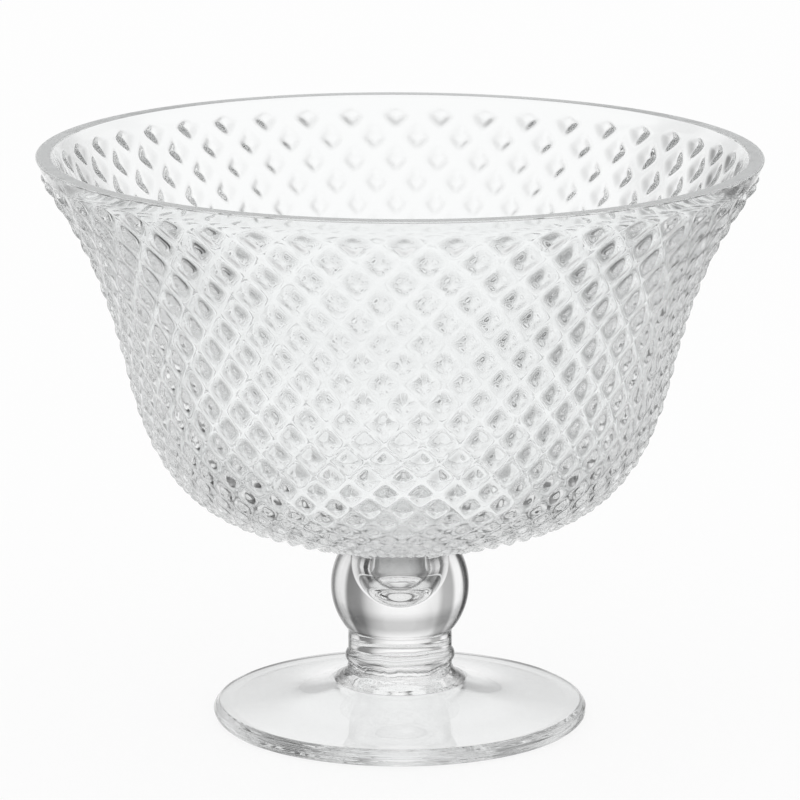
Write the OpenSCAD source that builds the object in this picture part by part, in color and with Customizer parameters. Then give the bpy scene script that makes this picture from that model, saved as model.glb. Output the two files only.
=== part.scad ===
// Footed trifle bowl in clear blown glass. A flared bowl, moulded outside with diamonds, stands on a ball knop,
// a short neck, a merese with a soft collar and a thin, domed foot. The table is at zero, +Z is up, the axis is Z.

/* [Bowl] */
// Height of the bowl from its joint with the knop to the rim
bowl_h = 137.5; // [120:0.5:165]
// Diameter across the rim
rim_d = 250; // [230:1:290]
// Width of the flat, polished rim
rim_wall = 5.8; // [4:0.1:8]
// Diameter halfway up, where the side is straightest
side_d = 188; // [175:1:200]
// Height above the joint at which the side has that diameter
side_rise = 61.5; // [52:0.5:72]
// Thickness of the wall there
side_wall = 5.6; // [4.5:0.1:8]
// Thickness of the floor of the bowl beside the well
floor_wall = 7; // [5.5:0.1:10]
// Lean of the wall at the rim, from upright
rim_lean = 18; // [8:1:28]
// Lean of the side where it is straightest, from upright
side_lean = 13; // [8:1:18]
// Slope of the underside where it leaves the knop, from level
base_rise = 9.5; // [4:0.5:14]

/* [Diamonds] */
// Number of diamonds round the bowl
diamonds = 46; // [38:1:50]
// Length of a diamond as a multiple of its width
diamond_ratio = 1.12; // [1.05:0.01:1.5]
// Depth of the grooves between the diamonds
groove = 1; // [0.4:0.1:1.6]
// Plain band between the rim and the first grooves
band = 4; // [2:0.1:6]
// Distance from the rim to the middle of the first row
first_row = 8.7; // [7:0.1:13]
// Radius on the underside where the diamonds end
plain_base_r = 40; // [34:1:50]
// Turn of the first diamond from the front
diamond_turn = 0.7; // [0:0.1:4]

/* [Knop and well] */
// Diameter of the ball knop
knop_d = 48.4; // [44:0.1:56]
// Diameter of the flat joint between the ball and the bowl
seat_d = 36.3; // [30:0.1:42]
// Diameter of the well that runs from the bowl down into the ball
well_d = 24; // [16:0.5:28]
// Depth of the well below the joint
well_depth = 21.6; // [16:0.1:30]
// Radius of the rounded mouth of the well
mouth_round = 4; // [2:0.1:5]

/* [Neck and merese] */
// Diameter of the neck
neck_d = 36.4; // [30:0.1:40]
// Length of the neck between the ball and the merese
neck_l = 8.35; // [6:0.05:14]
// Radius of the cove where the neck meets the ball
cove = 4; // [2.5:0.1:5]
// Diameter of the soft collar of the merese, under the neck
collar_d = 38.4; // [37:0.1:43]
// Thickness of the collar
collar_h = 5.4; // [4:0.1:7]
// Height of the skirt of the merese, from the foot to the collar
skirt_h = 6.1; // [4:0.1:8]
// Diameter of the skirt where it meets the collar
waist_d = 36.4; // [32:0.1:38]
// Diameter of the skirt where it meets the foot
skirt_d = 46; // [42:0.1:54]

/* [Foot] */
// Diameter of the foot
foot_d = 131; // [110:1:150]
// Height of the flat top of the foot, under the merese
foot_h = 13.5; // [10:0.1:18]
// Thickness of the rounded edge of the foot
foot_edge = 6; // [4:0.1:7]
// Width of the flat ring of the foot's top round the skirt
foot_ring = 0.8; // [0.4:0.1:2]
// Thickness of the foot in its middle, above the hollow of its underside
foot_wall = 6.5; // [5:0.1:8.5]
// Width of the flat ring that stands on the table
rest_ring = 3.5; // [2:0.1:6]

/* [Hidden] */
$fn = 96;
glass = [0.92, 0.94, 0.95, 0.45];

// How far each end's direction is followed, as a share of the straight distance between the ends
flare_pull = 0.67;
lip_pull = 0.256;
belly_pull = 0.49;
base_pull = 0.477;
cove_turn = 50;
curve_steps = 40;
inner_steps = 6;
mouth_steps = 3;
plain_rings = 3;
dome_fall = 22;
edge_fall = 6;
dome_pull = 0.4;
skirt_rise = 42;
skirt_pull = 0.4;
skirt_steps = 6;
hollow_pull = 0.4;
dome_steps = 10;
edge_steps = 12;

rim_r = rim_d / 2;
well_r = well_d / 2;
knop_r = knop_d / 2;
neck_r = neck_d / 2;
collar_r = collar_d / 2;
skirt_r = skirt_d / 2;
foot_r = foot_d / 2;
columns = 2 * diamonds;

// The pieces stack up from the table: the ball is cut flat where the neck and the bowl meet it
seat_r = seat_d / 2;
cove_r = neck_r + cove * (1 - cos(cove_turn));
neck_h = foot_h + skirt_h + collar_h;
cove_top = neck_h + neck_l;
knop_h = cove_top + sqrt(pow(knop_r, 2) - pow(cove_r, 2));
seat_h = knop_h + sqrt(pow(knop_r, 2) - pow(seat_r, 2));
well_h = seat_h - well_depth;
side_h = seat_h + side_rise;
height = seat_h + bowl_h;

function bezier(p, t) =
    pow(1 - t, 3) * p[0] + 3 * pow(1 - t, 2) * t * p[1] + 3 * (1 - t) * t * t * p[2] + pow(t, 3) * p[3];
function leaning(angle) = [sin(angle), cos(angle)];
function rising(angle) = [cos(angle), sin(angle)];

// Four points of a curve from p, leaving along u, to q, arriving along v
function pulled(p, u, a, q, v, b) = [p, p + a * norm(q - p) * u, q - b * norm(q - p) * v, q];

// A wall of the bowl as [radius, height], from the base through the side to the rim
function wall_curve(base, side, rim, steps) =
    let (
        low = pulled(base, rising(base_rise), base_pull, side, leaning(side_lean), belly_pull),
        high = pulled(side, leaning(side_lean), flare_pull, rim, leaning(rim_lean), lip_pull)
    )
    concat(
        [for (i = [0 : steps]) bezier(low, i / steps)],
        [for (i = [1 : steps]) bezier(high, i / steps)]
    );

outer = wall_curve([seat_r, seat_h], [side_d / 2, side_h], [rim_r, height], curve_steps);
floor_h = seat_h + floor_wall;
inner = wall_curve(
    [well_r + mouth_round, floor_h],
    [side_d / 2 - side_wall, side_h],
    [rim_r - rim_wall, height],
    inner_steps
);

// Length up the outer wall measured in local radii, so that equal steps give diamonds of one proportion
function step_up(i) = 2 * norm(outer[i] - outer[i - 1]) / (outer[i][0] + outer[i - 1][0]);
rise = [for (i = 0, s = 0; i < len(outer); i = i + 1, s = i < len(outer) ? s + step_up(i) : s) s];
rise_to_radius = [for (i = [0 : len(outer) - 1]) [rise[i], outer[i][0]]];
rise_to_height = [for (i = [0 : len(outer) - 1]) [rise[i], outer[i][1]]];
radius_to_rise = [for (i = [0 : len(outer) - 1]) [outer[i][0], rise[i]]];
rim_rise = rise[len(rise) - 1];
row_step = diamond_ratio * PI / diamonds;
first_rise = rim_rise - first_row / rim_r;
last_rise = lookup(plain_base_r, radius_to_rise);
rows = floor((first_rise - last_rise) / row_step);

function on_wall(s) = [lookup(s, rise_to_radius), lookup(s, rise_to_height)];
function inward(s) =
    let (along = on_wall(s + row_step / 4) - on_wall(s - row_step / 4))
    [-along[1], along[0]] / norm(along);
// Grooves run out over the last row at each end
function groove_at(row) = groove * min(1, row / 2, (rows - row) / 2);

// One ring of the bowl: the section on even columns, then on odd ones
function plain_ring(p) = [p, p];
function row_ring(row) =
    let (
        s = first_rise - row * row_step,
        top = on_wall(s),
        low = top + groove_at(row + 1) * inward(s)
    )
    row % 2 == 0 ? [top, low] : [low, top];

patterned = [for (row = [0 : rows - 1]) row_ring(row)];
patterned_end = first_rise - (rows - 1) * row_step;
underside = [for (i = [1 : plain_rings]) plain_ring(on_wall(patterned_end * (1 - i / plain_rings)))];
mouth = [for (i = [0 : mouth_steps])
    let (a = 90 * i / mouth_steps)
    plain_ring([well_r + mouth_round * (1 - cos(a)), floor_h - mouth_round * (1 - sin(a))])];
inside = [for (i = [1 : len(inner) - 1]) plain_ring(inner[i])];
rings = concat(
    [plain_ring([rim_r, height]), plain_ring(on_wall(rim_rise - band / rim_r))],
    patterned,
    underside,
    [plain_ring([well_r, seat_h])],
    mouth,
    inside
);

function spun(p, column) =
    let (a = diamond_turn - 90 + 360 * column / columns)
    [p[0] * cos(a), p[0] * sin(a), p[1]];
function corner(ring, column) = (ring % len(rings)) * columns + column % columns;
// Two triangles of a patch, split along the groove
function patch(i, j) =
    let (a = corner(i, j), b = corner(i, j + 1), c = corner(i + 1, j + 1), d = corner(i + 1, j))
    (i + j) % 2 == 0 ? [[a, b, d], [b, c, d]] : [[a, b, c], [a, c, d]];

module bowl() {
    points = [for (ring = rings) for (j = [0 : columns - 1]) spun(ring[j % 2], j)];
    faces = [for (i = [0 : len(rings) - 1]) for (j = [0 : columns - 1]) each patch(i, j)];
    color(glass) polyhedron(points, faces);
}

module knop() {
    color(glass) rotate_extrude() difference() {
        intersection() {
            translate([0, knop_h]) circle(r = knop_r);
            translate([0, cove_top]) square([knop_r, seat_h - cove_top]);
        }
        translate([0, well_h + well_r]) circle(r = well_r);
        translate([0, well_h + well_r]) square([well_r, knop_d]);
    }
}

module neck() {
    cove_middle = cove_top - cove * sin(cove_turn);
    color(glass) rotate_extrude() difference() {
        translate([0, neck_h]) square([cove_r, cove_top - neck_h]);
        translate([neck_r + cove, cove_middle]) circle(r = cove);
        translate([neck_r, 0]) square([cove, cove_middle]);
    }
}

module merese() {
    collar_round = collar_h / 2;
    skirt_edge = [skirt_r, foot_h];
    waist = [waist_d / 2, foot_h + skirt_h];
    flare = pulled(skirt_edge, rising(180 - skirt_rise), skirt_pull, waist, rising(90), skirt_pull);
    side = [for (i = [0 : skirt_steps]) bezier(flare, i / skirt_steps)];
    color(glass) rotate_extrude() {
        polygon(concat([[0, foot_h]], side, [[0, foot_h + skirt_h]]));
        translate([0, foot_h + skirt_h]) square([collar_r - collar_round, collar_h]);
        translate([collar_r - collar_round, neck_h - collar_round]) circle(r = collar_round);
    }
}

module foot() {
    edge_r = foot_edge / 2;
    edge_middle = [foot_r - edge_r, edge_r];
    edge_top = [foot_r - edge_r, foot_edge];
    ring_edge = [skirt_r + foot_ring, foot_h];
    dome = pulled(ring_edge, rising(-dome_fall), dome_pull, edge_top, rising(-edge_fall), dome_pull);
    top = [for (i = [0 : dome_steps]) bezier(dome, i / dome_steps)];
    edge = [for (i = [1 : edge_steps]) edge_middle + edge_r * leaning(180 * i / edge_steps)];
    rest_edge = [foot_r - edge_r - rest_ring, 0];
    hollow_top = [0, foot_h - foot_wall];
    hollow = pulled(rest_edge, rising(180 - edge_fall), hollow_pull, hollow_top, rising(180), hollow_pull);
    under = [for (i = [0 : dome_steps]) bezier(hollow, i / dome_steps)];
    color(glass) rotate_extrude() polygon(concat([[0, foot_h]], top, edge, under));
}

bowl();
knop();
neck();
merese();
foot();
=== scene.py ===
import math

import bpy
import numpy as np
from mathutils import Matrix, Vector, noise


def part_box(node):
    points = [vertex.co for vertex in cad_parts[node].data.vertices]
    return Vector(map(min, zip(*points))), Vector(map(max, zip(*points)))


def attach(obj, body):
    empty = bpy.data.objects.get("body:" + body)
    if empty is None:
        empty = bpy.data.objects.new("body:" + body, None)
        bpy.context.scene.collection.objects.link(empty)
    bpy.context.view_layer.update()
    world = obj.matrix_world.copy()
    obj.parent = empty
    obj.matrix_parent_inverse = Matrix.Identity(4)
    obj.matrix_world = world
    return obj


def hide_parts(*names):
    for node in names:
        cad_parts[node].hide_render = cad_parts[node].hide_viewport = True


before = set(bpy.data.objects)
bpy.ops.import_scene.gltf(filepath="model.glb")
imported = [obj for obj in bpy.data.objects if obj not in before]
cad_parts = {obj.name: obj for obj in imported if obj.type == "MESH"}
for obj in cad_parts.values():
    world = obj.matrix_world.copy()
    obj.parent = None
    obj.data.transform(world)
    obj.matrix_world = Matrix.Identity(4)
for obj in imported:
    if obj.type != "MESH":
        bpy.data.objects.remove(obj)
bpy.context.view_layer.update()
mm = 0.001

# heights and radii that the pieces share, in millimetres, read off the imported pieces
nodeBox = {name: [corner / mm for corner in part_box(name)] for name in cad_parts}
rimRadius = nodeBox["bowl"][1].x
rimHeight = nodeBox["bowl"][1].z
seatHeight = nodeBox["bowl"][0].z
coveTop = nodeBox["knop"][0].z
neckHeight = nodeBox["merese"][1].z
footTop = nodeBox["foot"][1].z
footRadius = nodeBox["foot"][1].x
mereseRadius = nodeBox["merese"][1].x
coveRadius = nodeBox["neck"][1].x


def hexColour(text):
    parts = [int(text[i : i + 2], 16) / 255 for i in (1, 3, 5)]
    return [c / 12.92 if c <= 0.04045 else ((c + 0.055) / 1.055) ** 2.4 for c in parts] + [1.0]


def addNode(tree, kind, settings=None, links=None):
    made = tree.nodes.new(kind)
    for key, value in (settings or {}).items():
        if key == "stops":  # brightness along a colour ramp
            ramp = made.color_ramp.elements
            while len(ramp) < len(value):
                ramp.new(1.0)
            for stop, (place, shade) in zip(ramp, value):
                stop.position, stop.color = place, (shade, shade, shade, 1.0)
        elif isinstance(key, int) or key in made.inputs:
            made.inputs[key].default_value = value
        else:
            setattr(made, key, value)
    for key, source in (links or {}).items():
        tree.links.new(source, made.inputs[key])
    return made


def newMaterial(name):
    made = bpy.data.materials.new(name)
    made.use_nodes = True
    made.node_tree.nodes.clear()
    return made, made.node_tree


# materials, with their lengths in millimetres

# soda-lime glass blown into an iron mould, then fire polished: clear, with faint cords in the wall
mouldedLook = {"ior": 1.52, "roughness": 0.0, "colour": "#FBFCFC", "cordSpacing": 14.0, "cordLift": 0.02}
# the foot is the same glass, its colour painted a shade greyer: painted shade for the grey seen where the eye
# looks along its slope, through more of it
footPaintedShadeLook = {**mouldedLook, "colour": "#EEEFEF"}


def cordedGlass(name, look):
    made, tree = newMaterial(name)
    place = addNode(tree, "ShaderNodeTexCoord")
    cords = addNode(tree, "ShaderNodeTexNoise",
                    {"Scale": 1 / (look["cordSpacing"] * mm), "Detail": 1.0},
                    {"Vector": place.outputs["Object"]})
    bump = addNode(tree, "ShaderNodeBump", {"Strength": 1.0, "Distance": look["cordLift"] * mm},
                   {"Height": cords.outputs["Fac"]})
    body = addNode(tree, "ShaderNodeBsdfPrincipled",
                   {"Base Color": hexColour(look["colour"]), "Transmission Weight": 1.0,
                    "IOR": look["ior"], "Roughness": look["roughness"]},
                   {"Normal": bump.outputs["Normal"]})
    addNode(tree, "ShaderNodeOutputMaterial", links={"Surface": body.outputs["BSDF"]})
    return made


# the same glass worked hot at the bench: clear, with slow waves left by tools, and its colour painted darker
# where it turns away, as painted shade along its outline
workedLook = {
    "ior": 1.52, "roughness": 0.0, "waveSpacing": 9.0, "waveLift": 0.03,
    # painted shade: how much light the colour lets pass, from where the surface faces the eye to where it is
    # seen edge on
    "paintedLimbShade": [(0.0, 0.98), (0.5, 0.96), (0.62, 0.4), (0.72, 0.1), (1.0, 0.06)],
}


def workedGlass():
    look = workedLook
    made, tree = newMaterial("workedSodaLimeGlass")
    place = addNode(tree, "ShaderNodeTexCoord")
    waves = addNode(tree, "ShaderNodeTexNoise",
                    {"Scale": 1 / (look["waveSpacing"] * mm), "Detail": 0.0},
                    {"Vector": place.outputs["Object"]})
    bump = addNode(tree, "ShaderNodeBump", {"Strength": 1.0, "Distance": look["waveLift"] * mm},
                   {"Height": waves.outputs["Fac"]})
    # painted shade: the colour darkens by how edge on the surface is seen, drawing dark outlines
    edge = addNode(tree, "ShaderNodeLayerWeight", {"Blend": 0.5})
    shade = addNode(tree, "ShaderNodeValToRGB", {"stops": look["paintedLimbShade"]}, {"Fac": edge.outputs["Facing"]})
    body = addNode(tree, "ShaderNodeBsdfPrincipled",
                   {"Transmission Weight": 1.0, "IOR": look["ior"], "Roughness": look["roughness"]},
                   {"Base Color": shade.outputs["Color"], "Normal": bump.outputs["Normal"]})
    addNode(tree, "ShaderNodeOutputMaterial", links={"Surface": body.outputs["BSDF"]})
    return made


# the rim was cut level and ground: still partly clear and softly matt, and its colour is painted grey as
# painted shade, so its flat is an even grey line
groundAndShadedLook = {"ior": 1.52, "roughness": 0.3, "colour": "#C8CACA", "clear": 0.55}


def groundShadedGlass():
    look = groundAndShadedLook
    made, tree = newMaterial("groundSodaLimeGlassPaintedGrey")
    # painted shade: the grey colour, with less of the glass clear, darkens the rim's flat
    body = addNode(tree, "ShaderNodeBsdfPrincipled",
                   {"Base Color": hexColour(look["colour"]), "Transmission Weight": look["clear"],
                    "IOR": look["ior"], "Roughness": look["roughness"]})
    addNode(tree, "ShaderNodeOutputMaterial", links={"Surface": body.outputs["BSDF"]})
    return made


# where two gathers melted into one no surface is left, so the joint faces let everything pass
def fusedJoint():
    made, tree = newMaterial("fusedGlassJoint")
    clear = addNode(tree, "ShaderNodeBsdfTransparent", {"Color": hexColour("#FFFFFF")})
    addNode(tree, "ShaderNodeOutputMaterial", links={"Surface": clear.outputs["BSDF"]})
    return made


glassOfBowl = cordedGlass("mouldedSodaLimeGlass", mouldedLook)
# the foot's glass carries painted shade: a greyer colour than the bowl's
glassOfFoot = cordedGlass("footSodaLimeGlassPaintedShade", footPaintedShadeLook)
glassOfStem = workedGlass()
glassOfRim = groundShadedGlass()
glassJoint = fusedJoint()
print("materials made")


# shapes shared by the pieces, drawn as (radius, height) in millimetres

def bezier(points, t):
    t = np.asarray(t, float)[:, None]
    a, b, c, d = (np.array(p, float) for p in points)
    return (1 - t) ** 3 * a + 3 * (1 - t) ** 2 * t * b + 3 * (1 - t) * t * t * c + t ** 3 * d


# direction of a line that leans so many degrees from upright
def leaning(angle):
    return np.array([math.sin(math.radians(angle)), math.cos(math.radians(angle))])


# direction of a line that rises so many degrees from level
def rising(angle):
    return np.array([math.cos(math.radians(angle)), math.sin(math.radians(angle))])


# the four points of a curve that leaves its start and reaches its end along given directions
def pulled(start, startWay, startShare, end, endWay, endShare):
    start, end = np.array(start, float), np.array(end, float)
    reach = np.linalg.norm(end - start)
    return [start, start + startShare * reach * startWay, end - endShare * reach * endWay, end]


def arc(middle, radius, fromAngle, toAngle, count):
    angles = np.radians(np.linspace(fromAngle, toAngle, count))
    return np.stack([middle[0] + radius * np.cos(angles), middle[1] + radius * np.sin(angles)], 1)


def smoothStep(low, high, value):
    t = np.clip((value - low) / (high - low), 0, 1)
    return t * t * (3 - 2 * t)


# a slow wander round a ring, the same at both ends of the turn
def wander(turn, waves, seed):
    drop = Vector((0, 0, seed))
    return np.array([noise.noise(Vector((math.cos(t), math.sin(t), 0)) * waves + drop) for t in turn])


# faceSets holds pairs of a glass and the faces that have it
def makePiece(name, corners, faceSets, sharpAngle=45):
    mesh = bpy.data.meshes.new(name)
    allFaces = [face for material, faces in faceSets for face in faces]
    mesh.from_pydata((np.asarray(corners) * mm).tolist(), [], allFaces)
    for material, faces in faceSets:
        mesh.materials.append(material)
    counts = [len(faces) for material, faces in faceSets]
    mesh.polygons.foreach_set("material_index", np.repeat(range(len(faceSets)), counts))
    mesh.polygons.foreach_set("use_smooth", [True] * len(mesh.polygons))
    mesh.set_sharp_from_angle(angle=math.radians(sharpAngle))
    mesh.update()
    piece = bpy.data.objects.new(name, mesh)
    bpy.context.scene.collection.objects.link(piece)
    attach(piece, "root")
    print("made", name, len(mesh.polygons), "faces")
    return piece


# a lathe shape whose outline starts and ends on the axis
# joints holds the spans of the outline that melt into a neighbour
def spunPiece(name, outline, joints, columns, glass, shape=None):
    outline = np.asarray(outline, float)
    turn = np.linspace(0, 2 * np.pi, columns, endpoint=False)
    radius = np.repeat(outline[1:-1, 0][:, None], columns, 1)
    height = np.repeat(outline[1:-1, 1][:, None], columns, 1)
    if shape:
        radius, height = shape(radius, height, turn)
    rings = np.stack([radius * np.sin(turn), -radius * np.cos(turn), height], -1)
    corners = np.concatenate([rings.reshape(-1, 3), [[0, 0, outline[0, 1]], [0, 0, outline[-1, 1]]]])
    count = len(rings)
    first, last = count * columns, count * columns + 1
    faces, jointFaces = [], []
    for span in range(count + 1):
        into = jointFaces if span in joints else faces
        for j in range(columns):
            n = (j + 1) % columns
            if span == 0:
                into.append((first, j, n))
            elif span == count:
                into.append(((count - 1) * columns + n, (count - 1) * columns + j, last))
            else:
                a, b = (span - 1) * columns, span * columns
                into.append((a + j, b + j, b + n, a + n))
    return makePiece(name, corners, [(glass, faces), (glassJoint, jointFaces)])


# the bowl: a flared wall with raised diamonds outside, a plain band, a flat ground rim and a smooth inside

bowlShape = {
    "rimWall": 5.8, "sideWall": 5.6, "floorWall": 7.0,  # thickness of the glass
    "sideRadius": 94.0, "sideRise": 61.5,  # where the belly ends and the flare starts
    "rimLean": 18.0, "sideLean": 13.0, "baseRise": 9.5,  # degrees
    "flarePull": 0.67, "lipPull": 0.256, "bellyPull": 0.49, "basePull": 0.477,  # fullness of the curves
    "seatRadius": 18.15, "wellRadius": 12.0, "mouthRound": 4.0,
    "arris": 0.5,  # rounding of the rim's two edges
    "outerArris": {"inset": 1.05, "from": -10, "to": 90},  # inset in rounding radii, then degrees
    "innerArris": {"inset": 1.25, "from": 90, "to": 165},
    "bandClear": 1.2, "insideClear": 1.3,  # how far below the rim the walls stop, in rounding radii
    "rimDrop": 1.0,  # the rim is a little lower on the right than on the left
}
# how finely each stretch is drawn
bowlRings = {"outer": 400, "inner": 24, "band": 7, "arris": 6, "mouth": 9, "underside": 24}
diamondShape = {
    "around": 46, "halfRows": 25, "ratio": 1.12,  # the last is height to width
    "band": 4.0, "firstRow": 8.7,  # down the wall from the rim
    "turn": 0.7,  # degrees
    "lift": 1.6, "fade": 0.65,  # height of a pillow at the rim, and how it lessens as the bowl narrows
    "sunk": 0.45,  # share of the lift by which the lines between pillows lie below the plain wall
    "land": 0.08, "corner": 4.0,  # flat share between pillows, and how square a pillow is
    "topFade": (-0.5, -0.15), "sinkFade": (-0.5, 0.5), "bottomFade": (-0.6, -0.1),  # in rows
    "pillowRings": [0.2, 0.35, 0.5, 0.65, 0.8, 0.92, 1.0], "sideSteps": 8, "weldGrain": 1e4,
}


def wallCurve(base, side, rim, steps):
    s = bowlShape
    sideWay = leaning(s["sideLean"])
    low = pulled(base, rising(s["baseRise"]), s["basePull"], side, sideWay, s["bellyPull"])
    high = pulled(side, sideWay, s["flarePull"], rim, leaning(s["rimLean"]), s["lipPull"])
    t = np.linspace(0, 1, steps + 1)
    return np.concatenate([bezier(low, t), bezier(high, t[1:])])


# one diamond: rings of a softly cornered pillow, then its flat land out to the four spiral lines around it
def pillowPatch():
    d = diamondShape
    steps, shares = d["sideSteps"], d["pillowRings"]
    side, end = np.linspace(-0.5, 0.5, steps + 1)[:-1], np.full(steps, 0.5)
    sides = ((side, -end), (end, side), (-side, end), (-end, -side))
    square = np.concatenate([np.stack(pair, 1) for pair in sides])
    turns = len(square)
    corner = np.sum(np.abs(square) ** d["corner"], 1) ** (1 / d["corner"])
    pad = square * ((0.5 - d["land"] / 2) / corner)[:, None]
    places = np.concatenate([[[0, 0]], *(pad * share for share in shares), square])
    heights = [1.0, *((1 + math.cos(math.pi * share)) / 2 for share in shares), 0.0]
    raised = np.repeat(heights, [1] + [turns] * (len(shares) + 1))
    faces = [(0, 1 + j, 1 + (j + 1) % turns) for j in range(turns)]
    for k in range(len(shares)):
        a, b = 1 + k * turns, 1 + (k + 1) * turns
        faces.extend((a + j, b + j, b + (j + 1) % turns, a + (j + 1) % turns) for j in range(turns))
    return places, raised, faces


# the half diamonds of the first and last row are plain: the two sides of a square cut corner to corner
def plainPatch():
    lines = np.linspace(-0.5, 0.5, diamondShape["sideSteps"] + 1)
    places = np.stack(np.meshgrid(lines, lines, indexing="ij"), -1).reshape(-1, 2)
    count = len(lines)
    lowerFaces, upperFaces = [], []
    for i in range(count - 1):
        for j in range(count - 1):
            ring = (i * count + j, (i + 1) * count + j, (i + 1) * count + j + 1, i * count + j + 1)
            if i > j:
                lowerFaces.append(ring)
            elif i < j:
                upperFaces.append(ring)
            else:
                lowerFaces.append(ring[:3])
                upperFaces.append((ring[0], ring[2], ring[3]))
    return places, lowerFaces, upperFaces


# all the diamonds, placed by columns across and rows down, and welded where neighbours share a line
def diamondNet():
    around, halfRows, grain = (diamondShape[name] for name in ("around", "halfRows", "weldGrain"))
    whole, pillow, wholeFaces = pillowPatch()
    half, lowerFaces, upperFaces = plainPatch()
    across, down, lift, faces, start = [], [], [], [], 0
    for row in range(-1, halfRows + 1):
        kind = lowerFaces if row == -1 else upperFaces if row == halfRows else wholeFaces
        patch, raised = (whole, pillow) if kind is wholeFaces else (half, np.zeros(len(half)))
        for i in range(around):
            across.append(i + 0.5 * (row % 2) + (patch[:, 0] + patch[:, 1]) / 2)
            down.append(row / 2 + (patch[:, 0] - patch[:, 1]) / 2)
            lift.append(raised)
            faces.extend(tuple(start + v for v in ring) for ring in kind)
            start += len(patch)
    across, down, lift = (np.concatenate(v) for v in (across, down, lift))
    column = np.round((across % around) * grain) % round(around * grain)
    key = np.stack([column, np.round(down * grain)], 1).astype(np.int64)
    used = np.unique(np.concatenate([np.asarray(ring) for ring in faces]))
    unique, firstAt, backTo = np.unique(key[used], axis=0, return_index=True, return_inverse=True)
    weld = np.full(len(across), -1)
    weld[used] = backTo.ravel()
    faces = [tuple(int(weld[v]) for v in ring) for ring in faces]
    return unique[:, 0] / grain, unique[:, 1] / grain, lift[used[firstAt]], faces


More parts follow.
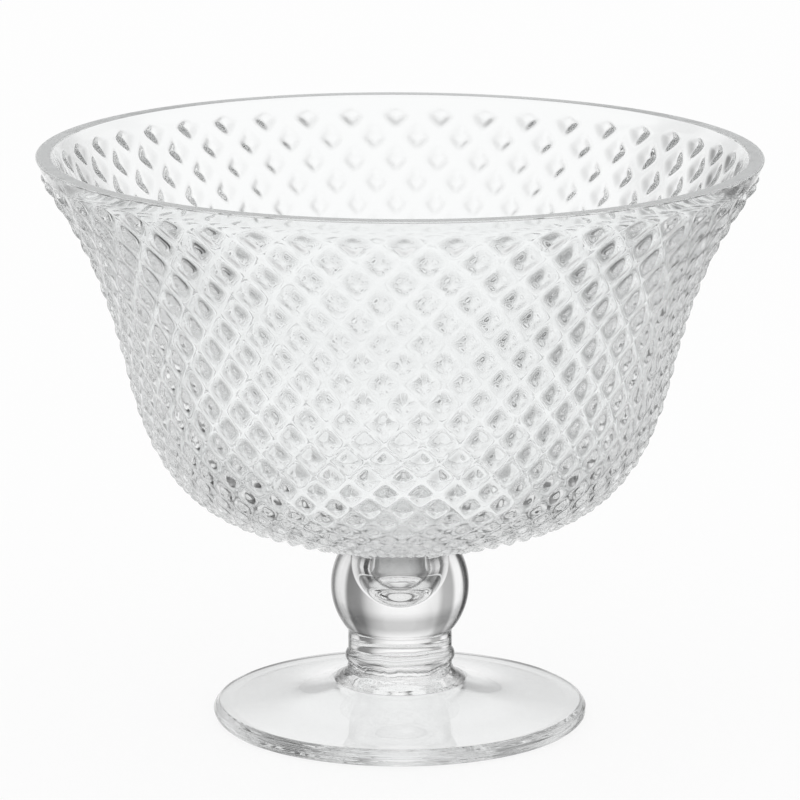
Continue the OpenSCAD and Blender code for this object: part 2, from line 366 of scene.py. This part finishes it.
def buildBowl():
    s, d, count = bowlShape, diamondShape, bowlRings
    sideHeight = seatHeight + s["sideRise"]
    floorHeight = seatHeight + s["floorWall"]
    mouthRadius = s["wellRadius"] + s["mouthRound"]
    innerRim = rimRadius - s["rimWall"]
    outer = wallCurve([s["seatRadius"], seatHeight], [s["sideRadius"], sideHeight],
                      [rimRadius, rimHeight], count["outer"])
    inner = wallCurve([mouthRadius, floorHeight], [s["sideRadius"] - s["sideWall"], sideHeight],
                      [innerRim, rimHeight], count["inner"])
    # length up the wall in local radii, so that equal steps give diamonds of one proportion
    lengths = np.linalg.norm(np.diff(outer, axis=0), axis=1)
    rise = np.concatenate([[0], np.cumsum(lengths * 2 / (outer[1:, 0] + outer[:-1, 0]))])
    slope = np.gradient(outer, rise, axis=0)
    slope /= np.linalg.norm(slope, axis=1)[:, None]
    outward = np.stack([slope[:, 1], -slope[:, 0]], 1)

    def onWall(value):
        place = np.stack([np.interp(value, rise, outer[:, i]) for i in (0, 1)], -1)
        way = np.stack([np.interp(value, rise, outward[:, i]) for i in (0, 1)], -1)
        return place, way

    rowStep = d["ratio"] * math.pi / d["around"]
    firstRise = rise[-1] - d["firstRow"] / rimRadius
    bandRise = rise[-1] - d["band"] / rimRadius

    def riseOf(down):
        step = np.where(down < 0, bandRise - firstRise, rowStep)
        return firstRise - down * 2 * step

    # lay the diamonds on the wall, and let them die out at the band and near the base
    across, down, lift, faces = diamondNet()
    lastDown = d["halfRows"] / 2
    ends = 1 - smoothStep(lastDown + d["bottomFade"][0], lastDown + d["bottomFade"][1], down)
    raised = lift * smoothStep(*d["topFade"], down) - d["sunk"] * smoothStep(*d["sinkFade"], down)
    place, way = onWall(riseOf(down))
    place = place + way * (d["lift"] * ends * raised * (place[:, 0] / rimRadius) ** d["fade"])[:, None]
    turn = across * 2 * math.pi / d["around"] + math.radians(d["turn"])
    corners = np.stack([place[:, 0] * np.sin(turn), -place[:, 0] * np.cos(turn), place[:, 1]], 1)

    # plain rings: band, rim, inside, well, joint and underside
    r, outerEdge, innerEdge = s["arris"], s["outerArris"], s["innerArris"]
    bandCurve = onWall(np.linspace(bandRise, rise[-1], count["band"])[1:-1])[0]
    bandCurve = bandCurve[bandCurve[:, 1] < rimHeight - r * s["bandClear"]]
    rimTop = np.concatenate([
        arc([rimRadius - r * outerEdge["inset"], rimHeight - r], r,
            outerEdge["from"], outerEdge["to"], count["arris"]),
        [[rimRadius - s["rimWall"] / 2, rimHeight]],
        arc([innerRim + r * innerEdge["inset"], rimHeight - r], r,
            innerEdge["from"], innerEdge["to"], count["arris"]),
    ])
    insideDown = inner[::-1]
    insideDown = insideDown[insideDown[:, 1] < rimHeight - r * s["insideClear"]]
    mouth = arc([mouthRadius, floorHeight - s["mouthRound"]], s["mouthRound"], 90, 180, count["mouth"])[1:]
    wellEnd = [[s["wellRadius"], seatHeight]]
    seatEdge = [[s["seatRadius"], seatHeight]]
    lastRise = float(riseOf(np.array(lastDown)))
    underside = onWall(np.linspace(0, lastRise, count["underside"])[1:-1])[0]
    rings = np.concatenate([bandCurve, rimTop, insideDown, mouth, wellEnd, seatEdge, underside])
    flatSpan = len(bandCurve) + count["arris"]
    jointSpan = len(bandCurve) + len(rimTop) + len(insideDown) + len(mouth) + 1

    # the rings take their columns from the top line of the diamonds, and close on the bottom line
    hair = 0.5 / d["weldGrain"]
    top = np.flatnonzero(np.abs(down + 0.5) < hair)
    bottom = np.flatnonzero(np.abs(down - lastDown) < hair)
    top, bottom = top[np.argsort(across[top])], bottom[np.argsort(across[bottom])]
    columns, columnTurn = len(top), turn[top]
    radius, height = rings[:, 0][:, None], np.repeat(rings[:, 1][:, None], columns, 1)
    ringCorners = np.stack([radius * np.sin(columnTurn), -radius * np.cos(columnTurn), height], -1)
    start = len(corners)
    corners = np.concatenate([corners, ringCorners.reshape(-1, 3)])
    loops = [top] + [start + i * columns + np.arange(columns) for i in range(len(rings))] + [bottom]
    jointFaces, rimFaces = [], []
    for i in range(len(loops) - 1):
        into = jointFaces if i == jointSpan else rimFaces if i in (flatSpan, flatSpan + 1) else faces
        a, b = loops[i].tolist(), loops[i + 1].tolist()
        for j in range(columns):
            k = (j + 1) % columns
            into.append((a[j], a[k], b[k], b[j]))
    lower = s["rimDrop"] * (1 + corners[:, 0] / rimRadius) / 2
    corners[:, 2] -= lower * smoothStep(sideHeight, rimHeight, corners[:, 2])
    faceSets = [(glassOfBowl, faces), (glassJoint, jointFaces), (glassOfRim, rimFaces)]
    piece = makePiece("moulded_bowl", corners, faceSets)
    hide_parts("bowl")


buildBowl()

# the knop: a solid ball with a rounded well that opens into the bowl

knopShape = {"radius": 24.2, "wellRadius": 12.0, "wellDepth": 21.6, "seatRadius": 18.15}
knopRings = {"well": 40, "wall": 10, "ball": 90, "columns": 192}


def buildKnop():
    s, count = knopShape, knopRings
    middle = coveTop + math.sqrt(s["radius"] ** 2 - coveRadius ** 2)
    wellMiddle = seatHeight - s["wellDepth"] + s["wellRadius"]
    fromSeat = math.degrees(math.acos(s["seatRadius"] / s["radius"]))
    toCove = -math.degrees(math.acos(coveRadius / s["radius"]))
    well = arc([0, wellMiddle], s["wellRadius"], -90, 0, count["well"])
    wall = [[s["wellRadius"], h] for h in np.linspace(wellMiddle, seatHeight, count["wall"])[1:]]
    ball = arc([0, middle], s["radius"], fromSeat, toCove, count["ball"])
    ball[0, 1], ball[-1, 1] = seatHeight, coveTop
    outline = np.concatenate([well, wall, ball, [[0, coveTop]]])
    joints = {len(well) + len(wall) - 1, len(outline) - 2}
    piece = spunPiece("ball_knop", outline, joints, count["columns"], glassOfStem)
    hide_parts("knop")


buildKnop()

# the neck: a short round stem with a cove under the ball, cut a little askew where it meets the merese

neckShape = {"radius": 18.2, "cove": 4.0, "coveTurn": 50.0, "seatRadius": 16.5}
neckRings = {"cove": 16, "stem": 20, "under": 5, "columns": 240}
joinLift = {"front": 1.2, "right": 0.2, "wander": 0.5, "waves": 2.5, "seed": 3.7}


def joinLine(turn):
    j = joinLift
    slant = j["front"] * np.cos(turn) + j["right"] * np.sin(turn)
    return slant + j["wander"] * wander(turn, j["waves"], j["seed"])


def buildNeck():
    s, count = neckShape, neckRings
    coveMiddle = coveTop - s["cove"] * math.sin(math.radians(s["coveTurn"]))
    cove = arc([s["radius"] + s["cove"], coveMiddle], s["cove"], 180 - s["coveTurn"], 180, count["cove"])
    stem = [[s["radius"], h] for h in np.linspace(coveMiddle, neckHeight, count["stem"])[1:]]
    under = [[r, neckHeight] for r in np.linspace(s["radius"], s["seatRadius"], count["under"])[1:]]
    outline = np.concatenate([[[0, coveTop]], cove, stem, under, [[0, neckHeight]]])

    def shape(radius, height, turn):
        low = np.clip((coveMiddle - height) / (coveMiddle - neckHeight), 0, 1) ** 2
        out = smoothStep(s["seatRadius"], s["radius"], radius)
        return radius, height + joinLine(turn) * low * out

    joints = {0, len(outline) - 2}
    piece = spunPiece("short_neck", outline, joints, count["columns"], glassOfStem, shape)
    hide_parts("neck")


buildNeck()

# the merese: a soft collar over a flared skirt, with the wandering creases of a hot joint

mereseShape = {
    "collarRadius": 19.2, "collar": 5.4, "collarTurn": -75, "collarEase": 1.2,
    "skirt": 6.1, "waist": 18.2, "skirtRise": 42.0, "skirtPull": 0.4,
    "sway": 0.9, "swayReach": 1.8,  # wander of the collar's lower edge, and how far up and down it is felt
}
mereseRings = {"collar": 44, "flare": 56, "columns": 360}
collarEdge = [
    {"share": 1.0, "waves": 2.2, "seed": 6.3},
    {"share": 0.5, "waves": 5.5, "seed": 1.1},
    {"share": 0.4, "waves": 13.0, "seed": 4.2},
]
skirtCreases = [
    {"height": 5.1, "sway": 0.7, "waves": 2.0, "seed": 1.3, "depth": 0.35, "width": 0.40},
    {"height": 3.6, "sway": 0.6, "waves": 2.6, "seed": 5.1, "depth": 0.45, "width": 0.45},
    {"height": 2.2, "sway": 0.5, "waves": 1.8, "seed": 8.4, "depth": 0.40, "width": 0.40},
    {"height": 1.0, "sway": 0.3, "waves": 2.2, "seed": 2.9, "depth": 0.30, "width": 0.30},
]
creaseWander = {
    "slow": 1.6, "quick": 0.3, "quickWaves": 9.0,  # shares of slow and quick wander in a crease's line
    "strength": 0.55, "change": 0.9, "changeWaves": 1.7, "changeSeed": 7,  # how it comes and goes
    "footEase": 0.5, "waistEase": (-0.3, 0.2),
}


def buildMerese():
    s, count = mereseShape, mereseRings
    waistHeight = footTop + s["skirt"]
    roundness = s["collar"] / 2
    collarMiddle = [s["collarRadius"] - roundness, neckHeight - roundness]
    collar = arc(collarMiddle, roundness, 90, s["collarTurn"], count["collar"])
    flareCurve = pulled([s["waist"], waistHeight], rising(-90), s["skirtPull"],
                        [mereseRadius, footTop], rising(-s["skirtRise"]), s["skirtPull"])
    flare = bezier(flareCurve, np.linspace(0, 1, count["flare"]))
    outline = np.concatenate([[[0, neckHeight]], collar, flare, [[0, footTop]]])

    def shape(radius, height, turn):
        # the collar follows the slanting end of the neck, and its lower edge wanders
        over = np.clip((height - waistHeight) / s["collar"], 0, 1)
        free = smoothStep(neckShape["seatRadius"], neckShape["seatRadius"] + s["collarEase"], radius)
        edge = sum(c["share"] * wander(turn, c["waves"], c["seed"]) for c in collarEdge)
        nearWaist = np.exp(-(((height - waistHeight) / s["swayReach"]) ** 2))
        moved = height + joinLine(turn) * over * free + s["sway"] * edge * nearWaist
        # the creases cut into the skirt, and ease out at its foot and its waist
        h, above = creaseWander, height - footTop
        waistFrom, waistTo = (s["skirt"] + v for v in h["waistEase"])
        ease = smoothStep(0.0, h["footEase"], above) * (1 - smoothStep(waistFrom, waistTo, above))
        cut = np.zeros_like(radius)
        for c in skirtCreases:
            slow = h["slow"] * wander(turn, c["waves"], c["seed"])
            quick = h["quick"] * wander(turn, h["quickWaves"], c["seed"])
            line = c["height"] + c["sway"] * (slow + quick)
            change = h["change"] * wander(turn, h["changeWaves"], c["seed"] + h["changeSeed"])
            strength = np.clip(h["strength"] + change, 0, 1)
            cut += c["depth"] * strength * np.exp(-(((above - line) / c["width"]) ** 2))
        return radius - cut * ease, moved

    joints = {0, len(outline) - 2}
    piece = spunPiece("hot_merese", outline, joints, count["columns"], glassOfStem, shape)
    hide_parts("merese")


buildMerese()

# the foot: a round domed disc with a rounded, faintly streaked edge

footShape = {
    "seatRadius": 23.0, "ring": 0.8, "edge": 6.0,
    "domeFall": 22.0, "edgeFall": 6.0, "domePull": 0.4,  # the dome's slope in degrees, inside and at the edge
    "restRing": 3.5, "hollow": 11.5, "hollowPull": 0.35,
}
footRings = {"dome": 40, "edge": 64, "hollow": 16, "columns": 288}
footStreaks = {
    "depth": 0.2, "share": 0.5, "around": 1.6, "across": 3.0,  # long round the edge, narrow across it
    "edgeEase": (0.0, 1.5), "tableEase": (0.2, 1.2),  # where they start, from the dome and the table
}


def buildFoot():
    s, k, count = footShape, footStreaks, footRings
    edge = s["edge"] / 2
    edgeMiddle = footRadius - edge
    domeCurve = pulled([mereseRadius + s["ring"], footTop], rising(-s["domeFall"]), s["domePull"],
                       [edgeMiddle, s["edge"]], rising(-s["edgeFall"]), s["domePull"])
    dome = bezier(domeCurve, np.linspace(0, 1, count["dome"]))
    rim = arc([edgeMiddle, edge], edge, 90, -90, count["edge"])[1:]
    # the hollow underneath runs level with the dome, so the foot is a plain sheet to look through
    under = dome[::-1] - [s["restRing"], s["edge"]]
    capCurve = pulled(under[-1], rising(180 - s["domeFall"]), s["hollowPull"],
                      [0, s["hollow"]], rising(180), s["hollowPull"])
    cap = bezier(capCurve, np.linspace(0, 1, count["hollow"]))[1:]
    outline = np.concatenate([[[0, footTop], [s["seatRadius"], footTop]], dome, rim, under, cap])

    def streak(turn, angle):
        x, y = math.cos(turn) * k["around"], math.sin(turn) * k["around"]
        return noise.noise(Vector((x, y, angle * k["across"])))

    def shape(radius, height, turn):
        # tooling streaks run round the edge
        way = np.stack([radius - edgeMiddle, height - edge], -1)
        along = np.linalg.norm(way, axis=-1)
        near = smoothStep(*k["edgeEase"], radius - edgeMiddle) * smoothStep(*k["tableEase"], height)
        angle = np.arctan2(way[..., 1], way[..., 0])
        cut = np.array([[streak(b, a) for a, b in zip(row, turn)] for row in angle])
        depth = k["depth"] * near * np.clip(k["share"] + cut, 0, 1)
        return radius - depth * way[..., 0] / along, height - depth * way[..., 1] / along

    piece = spunPiece("round_foot", outline, {0}, count["columns"], glassOfFoot, shape)
    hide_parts("foot")


buildFoot()

# studio: pale paper under an even white light, and panels that only the glass sees

studio = {
    "floorSize": 12000.0, "floorDrop": 0.3, "floorColour": "#F2F2F2",
    "glow": 0.88,  # share of plain white in what the camera sees of the paper, so that a soft shadow is left
}
# brightness of the studio as the glass sees it, by degrees round from its back, left is minus
# white panels with dark gaps between them, which draw the diamonds
panelLight = [
    (-180, 0.97), (-100, 1.0), (-79, 1.0), (-75, 0.05), (-60, 0.05), (-56, 1.0), (-44, 1.0),
    (-39, 0.4), (-29, 0.45), (-24, 0.8), (-16, 0.92), (-9, 1.0), (0, 1.0), (9, 0.97),
    (15, 0.8), (20, 0.6), (26, 0.22), (39, 0.15), (44, 0.9), (60, 0.92),
    (66, 0.6), (74, 0.6), (80, 0.95), (112, 0.97), (180, 0.97),
]
# and by degrees above the table: white paper with a dark edge steeply below, and a grey band just above level
riseLight = [
    (-90, 0.9), (-58, 0.8), (-52, 0.2), (-44, 0.25), (-36, 0.7), (-28, 0.92), (-22, 1.0),
    (-4, 1.0), (3, 0.95), (10, 0.62), (17, 0.6), (24, 0.95), (90, 1.0),
]
# steeply up and down the panels give way to an even shade
overhead = {"shade": 1.0, "from": 40.0, "to": 60.0}


def ramped(tree, value, low, high, light):
    share = addNode(tree, "ShaderNodeMapRange",
                    {"From Min": math.radians(low), "From Max": math.radians(high)}, {"Value": value})
    stops = [((a - low) / (high - low), b) for a, b in light]
    return addNode(tree, "ShaderNodeValToRGB", {"stops": stops}, {"Fac": share.outputs[0]}).outputs["Color"]


def seenByGlass(tree):
    ray = addNode(tree, "ShaderNodeLightPath")
    glass = addNode(tree, "ShaderNodeMath", {"operation": "MAXIMUM"},
                    {0: ray.outputs["Is Transmission Ray"], 1: ray.outputs["Is Glossy Ray"]})
    return glass.outputs[0], ray


# matt white paper: pale and even to the eye, with a soft shadow; the glass looks past it at the studio
def whitePaper():
    made, tree = newMaterial("mattWhitePaper")
    glass, ray = seenByGlass(tree)
    share = addNode(tree, "ShaderNodeMath", {"operation": "MULTIPLY", 1: studio["glow"]},
                    {0: ray.outputs["Is Camera Ray"]})
    paper = addNode(tree, "ShaderNodeBsdfDiffuse", {"Color": hexColour(studio["floorColour"])})
    white = addNode(tree, "ShaderNodeEmission", {"Color": hexColour("#FFFFFF"), "Strength": 1.0})
    plain = addNode(tree, "ShaderNodeMixShader", None,
                    {0: share.outputs[0], 1: paper.outputs[0], 2: white.outputs[0]})
    through = addNode(tree, "ShaderNodeBsdfTransparent", {"Color": hexColour("#FFFFFF")})
    mixed = addNode(tree, "ShaderNodeMixShader", None, {0: glass, 1: plain.outputs[0], 2: through.outputs[0]})
    addNode(tree, "ShaderNodeOutputMaterial", None, {"Surface": mixed.outputs[0]})
    return made


def buildFloor():
    half, drop = studio["floorSize"] / 2 * mm, studio["floorDrop"] * mm
    mesh = bpy.data.meshes.new("studio_floor")
    corners = [(x * half, y * half, -drop) for x, y in ((-1, -1), (1, -1), (1, 1), (-1, 1))]
    mesh.from_pydata(corners, [], [(0, 1, 2, 3)])
    mesh.materials.append(whitePaper())
    made = bpy.data.objects.new("studio_floor", mesh)
    bpy.context.scene.collection.objects.link(made)


def buildWorld():
    world = bpy.data.worlds.new("whiteStudio")
    world.use_nodes = True
    bpy.context.scene.world = world
    tree = world.node_tree
    tree.nodes.clear()
    place = addNode(tree, "ShaderNodeTexCoord")
    parts = addNode(tree, "ShaderNodeSeparateXYZ", None, {0: place.outputs["Generated"]})
    turn = addNode(tree, "ShaderNodeMath", {"operation": "ARCTAN2"},
                   {0: parts.outputs["X"], 1: parts.outputs["Y"]})
    rise = addNode(tree, "ShaderNodeMath", {"operation": "ARCSINE"}, {0: parts.outputs["Z"]})
    steep = addNode(tree, "ShaderNodeMath", {"operation": "ABSOLUTE"}, {0: rise.outputs[0]})
    above = addNode(tree, "ShaderNodeMapRange",
                    {"interpolation_type": "SMOOTHSTEP", "From Min": math.radians(overhead["from"]),
                     "From Max": math.radians(overhead["to"])}, {"Value": steep.outputs[0]})
    panels = addNode(tree, "ShaderNodeMix", {"data_type": "FLOAT", "B": overhead["shade"]},
                     {"Factor": above.outputs[0], "A": ramped(tree, turn.outputs[0], -180, 180, panelLight)})
    sky = addNode(tree, "ShaderNodeMath", {"operation": "MULTIPLY"},
                  {0: panels.outputs[0], 1: ramped(tree, rise.outputs[0], -90, 90, riseLight)})
    glass, ray = seenByGlass(tree)
    shade = addNode(tree, "ShaderNodeMix", {"data_type": "FLOAT", "A": 1.0},
                    {"Factor": glass, "B": sky.outputs[0]})
    light = addNode(tree, "ShaderNodeBackground", {"Color": hexColour("#FFFFFF")},
                    {"Strength": shade.outputs[0]})
    addNode(tree, "ShaderNodeOutputWorld", None, {"Surface": light.outputs[0]})


buildFloor()
buildWorld()

# camera: a long lens a little above the rim, found from the ellipses of the rim and the foot

cameraSpot = {"back": 1748.0, "up": 516.0, "pitch": 12.97, "lens": 232.65, "sensor": 36.0}


def buildCamera():
    data = bpy.data.cameras.new("camera")
    data.lens = cameraSpot["lens"]
    data.sensor_width = cameraSpot["sensor"]
    camera = bpy.data.objects.new("camera", data)
    camera.location = (0, -cameraSpot["back"] * mm, cameraSpot["up"] * mm)
    camera.rotation_euler = (math.radians(90 - cameraSpot["pitch"]), 0, 0)
    bpy.context.scene.collection.objects.link(camera)
    bpy.context.scene.camera = camera


buildCamera()
scene = bpy.context.scene
scene.view_settings.view_transform = "Standard"
glassBounces = 64  # light crosses many walls of glass before it is out
scene.cycles.max_bounces = glassBounces
scene.cycles.transmission_bounces = glassBounces
scene.cycles.glossy_bounces = glassBounces
scene.cycles.transparent_max_bounces = 16
print("studio and camera ready")
